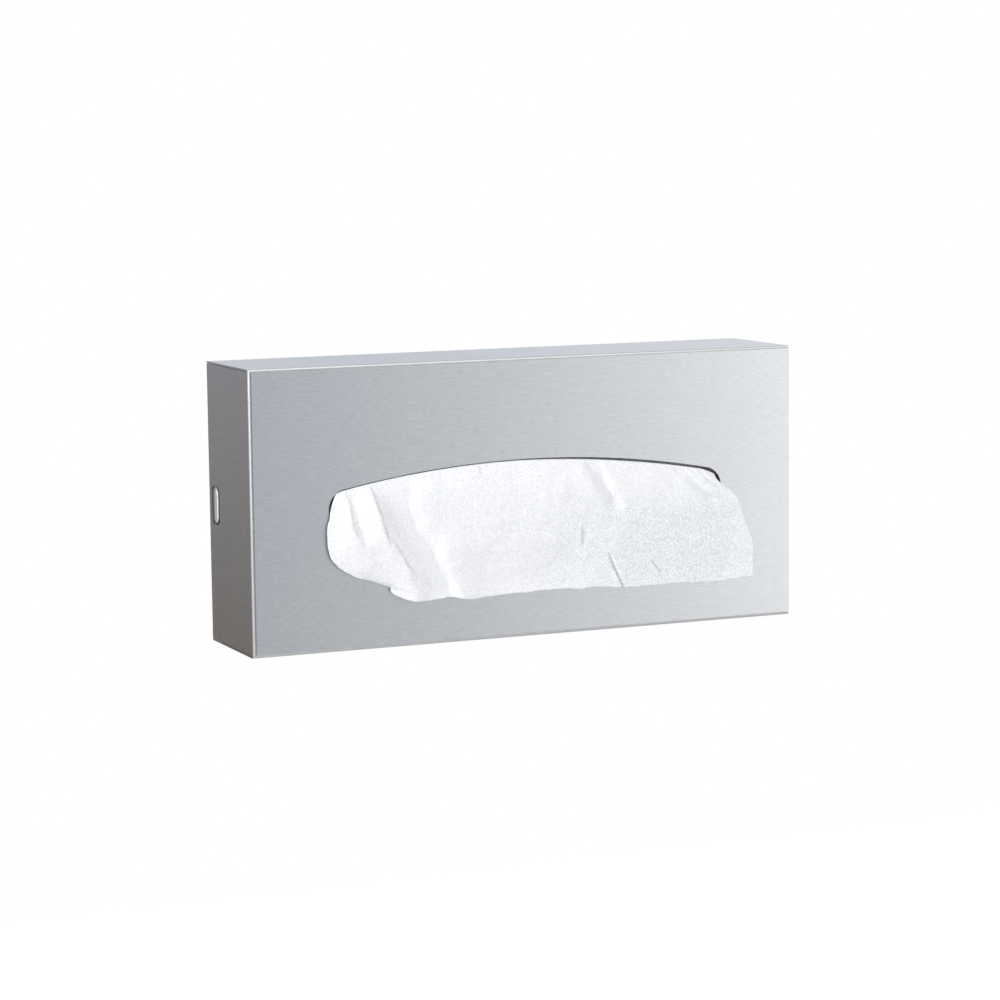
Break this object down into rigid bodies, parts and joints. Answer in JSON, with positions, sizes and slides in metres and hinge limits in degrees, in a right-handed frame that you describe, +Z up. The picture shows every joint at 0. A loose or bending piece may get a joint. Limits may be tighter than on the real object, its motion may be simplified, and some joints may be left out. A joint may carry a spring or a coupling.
{
  "type": "facial tissue dispenser",
  "caption": "Wall-mounted rectangular metal facial tissue dispenser: a clip-on cover with a lens-shaped opening over a hidden bracket, with a carton of tissues and a tissue drawn out.",
  "frame": {"origin": "centre of the back of the wall bracket, on the face of the wall", "axes": "+X to the right as seen from the front, along the longest side; +Y into the wall, out of the dispenser's back; +Z up"},
  "size_m": [0.2792, 0.0655, 0.133],
  "materials": {
    "satin_steel": "satin",
    "bracket_steel": "satin",
    "spring_steel": "satin",
    "button_steel": "polished",
    "rivet_steel": "satin",
    "carton_card": "matte",
    "tissue_paper": "matte",
    "tissue_sheet": "matte"
  },
  "bodies": {
    "bracket": {"wall_bracket": "bracket_steel", "left_latch_spring": "spring_steel", "right_latch_spring": "spring_steel", "left_upper_rivet": "rivet_steel", "left_lower_rivet": "rivet_steel", "right_upper_rivet": "rivet_steel", "right_lower_rivet": "rivet_steel"},
    "cover": {"cover": "satin_steel", "tissue_carton": "carton_card", "tissue_stack": "tissue_paper", "pulled_tissue": "tissue_sheet"},
    "left_button": {"left_latch_button": "button_steel"},
    "right_button": {"right_latch_button": "button_steel"}
  },
  "joints": [
    {"name": "cover_pull", "type": "slide", "parent": "bracket", "child": "cover", "axis": [0, -1, 0], "range_m": [0, 0.02]},
    {"name": "left_latch_press", "type": "slide", "parent": "bracket", "child": "left_button", "axis": [1, 0, 0], "range_m": [0, 0.004], "stiffness_N_per_m": 700, "springref_m": -0.0003, "deforming": ["left_latch_spring"]},
    {"name": "right_latch_press", "type": "slide", "parent": "bracket", "child": "right_button", "axis": [-1, 0, 0], "range_m": [0, 0.004], "stiffness_N_per_m": 700, "springref_m": -0.0003, "deforming": ["right_latch_spring"]}
  ],
  "couplings": [
    {"joint": "left_latch_press", "follows": "cover_pull", "ratio": 0.2},
    {"joint": "right_latch_press", "follows": "cover_pull", "ratio": 0.2}
  ]
}
